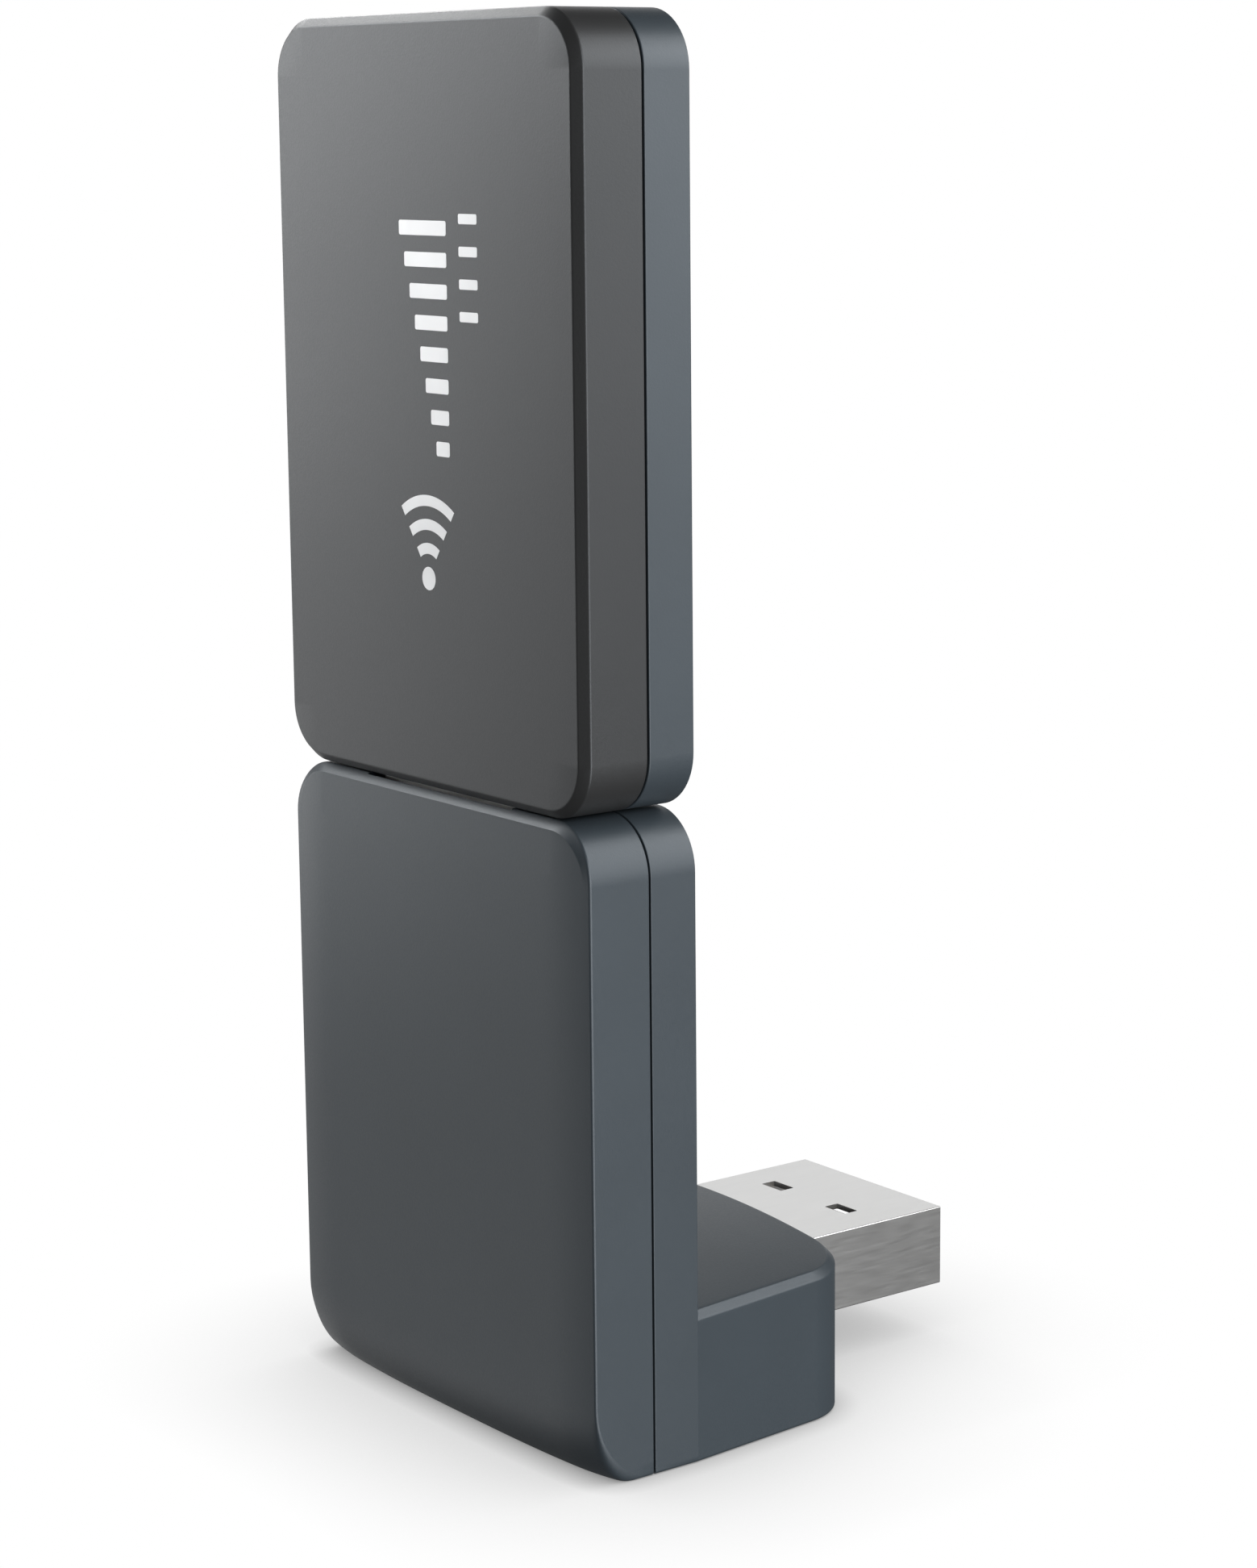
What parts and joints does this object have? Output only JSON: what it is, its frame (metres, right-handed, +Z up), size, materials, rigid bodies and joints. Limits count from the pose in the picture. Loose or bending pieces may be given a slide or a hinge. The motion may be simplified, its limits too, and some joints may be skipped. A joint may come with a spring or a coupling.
{
  "type": "usb wifi adapter",
  "caption": "Slim upright wireless dongle plugged into the top of a right-angle USB adapter, whose low foot carries a series A plug pointing backwards.",
  "frame": {"origin": "centre of the base of the bounding box, on the surface that the foot stands on", "axes": "+Z up, -Y towards the front face, +Y along the adapter's plug to its tip, +X across the width"},
  "size_m": [0.027, 0.0302, 0.0733],
  "materials": {
    "graphite_plastic": "fine satin moulding texture, neutral dark grey",
    "slate_plastic": "fine satin moulding texture, bluish dark grey",
    "silver_print": "flat silver printing ink",
    "nickel_plate": "bright nickel plating with faint rolling lines",
    "gold_plate": "smooth gold plating",
    "black_insulator": "satin black moulding",
    "circuit_board": "green solder mask",
    "chip_epoxy": "matt black epoxy",
    "tinned_steel": "dull tinned sheet",
    "ceramic": "fired ceramic",
    "red_wire": "smooth wire insulation",
    "white_wire": "smooth wire insulation",
    "green_wire": "smooth wire insulation",
    "black_wire": "smooth wire insulation"
  },
  "bodies": {
    "adapter": {"adapter_front_cover": "slate_plastic", "adapter_rear_cover": "slate_plastic", "socket_shell": "nickel_plate", "socket_insulator": "black_insulator", "socket_contact_1": "gold_plate", "socket_contact_2": "gold_plate", "socket_contact_3": "gold_plate", "socket_contact_4": "gold_plate", "socket_board": "circuit_board", "plug_board": "circuit_board", "link_wire_1": "red_wire", "link_wire_2": "white_wire", "link_wire_3": "green_wire", "link_wire_4": "black_wire", "adapter_plug_shell": "nickel_plate", "adapter_plug_insulator": "black_insulator", "adapter_plug_contact_1": "gold_plate", "adapter_plug_contact_2": "gold_plate", "adapter_plug_contact_3": "gold_plate", "adapter_plug_contact_4": "gold_plate"},
    "dongle": {"dongle_front_cover": "graphite_plastic", "dongle_rear_cover": "slate_plastic", "dongle_plug_shell": "nickel_plate", "dongle_plug_insulator": "black_insulator", "dongle_plug_contact_1": "gold_plate", "dongle_plug_contact_2": "gold_plate", "dongle_plug_contact_3": "gold_plate", "dongle_plug_contact_4": "gold_plate", "dongle_board": "circuit_board", "shield_can": "tinned_steel", "radio_chip": "chip_epoxy", "memory_chip": "chip_epoxy", "crystal": "tinned_steel", "voltage_regulator": "chip_epoxy", "supply_capacitor": "ceramic", "antenna_left": "ceramic", "antenna_right": "ceramic"}
  },
  "joints": [
    {"name": "dongle_pull", "type": "slide", "parent": "adapter", "child": "dongle", "axis": [0, 0, 1], "range_m": [0, 0.015]}
  ]
}
